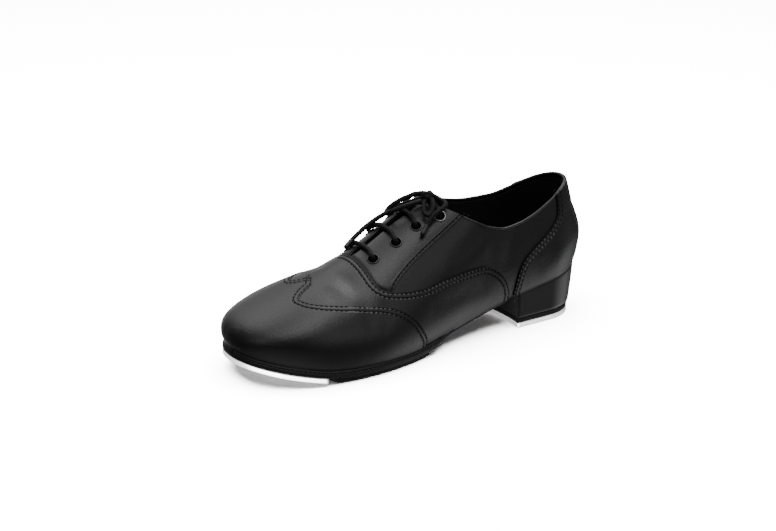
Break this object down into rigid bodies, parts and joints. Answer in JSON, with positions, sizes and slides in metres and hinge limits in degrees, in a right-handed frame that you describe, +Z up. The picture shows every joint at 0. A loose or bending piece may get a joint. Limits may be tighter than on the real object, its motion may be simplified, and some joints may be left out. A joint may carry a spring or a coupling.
{
  "type": "tap shoe",
  "caption": "Black leather lace-up tap shoe with winged toe cap, low block heel, and metal taps under toe and heel.",
  "frame": {"origin": "on the floor, under the middle of the shoe's box without its bow", "axes": "+X towards the toe, +Y towards the wearer's left (the shoe's outer side), +Z up"},
  "size_m": [0.2566, 0.0892, 0.0984],
  "materials": {
    "leather": "smooth, semi-matte",
    "tongue": "soft, matte",
    "lining": "matte",
    "sole": "painted, satin",
    "heel": "satin",
    "rubber": "matte, fine grain",
    "tap": "satin",
    "eyelet": "black enamel, worn bright rim",
    "lace": "woven cord"
  },
  "bodies": {
    "root": {"upper": "leather", "toe_cap": "leather", "vamp": "leather", "facing_left": "leather", "facing_right": "leather", "heel_counter": "leather", "tongue": "tongue", "insole": "lining", "outsole": "sole", "heel_block": "heel", "top_lift": "rubber", "heel_tap": "tap", "toe_tap": "tap", "forefoot_pad": "rubber", "eyelet_left_1": "eyelet", "eyelet_left_2": "eyelet", "eyelet_left_3": "eyelet", "eyelet_left_4": "eyelet", "eyelet_right_1": "eyelet", "eyelet_right_2": "eyelet", "eyelet_right_3": "eyelet", "eyelet_right_4": "eyelet", "lace_bar_1": "lace", "lace_bar_2": "lace", "lace_bar_3": "lace", "lace_bar_4": "lace", "lace_knot": "lace", "lace_loop_front": "lace", "lace_loop_side": "lace", "lace_end_front": "lace", "lace_end_side": "lace"}
  },
  "joints": []
}
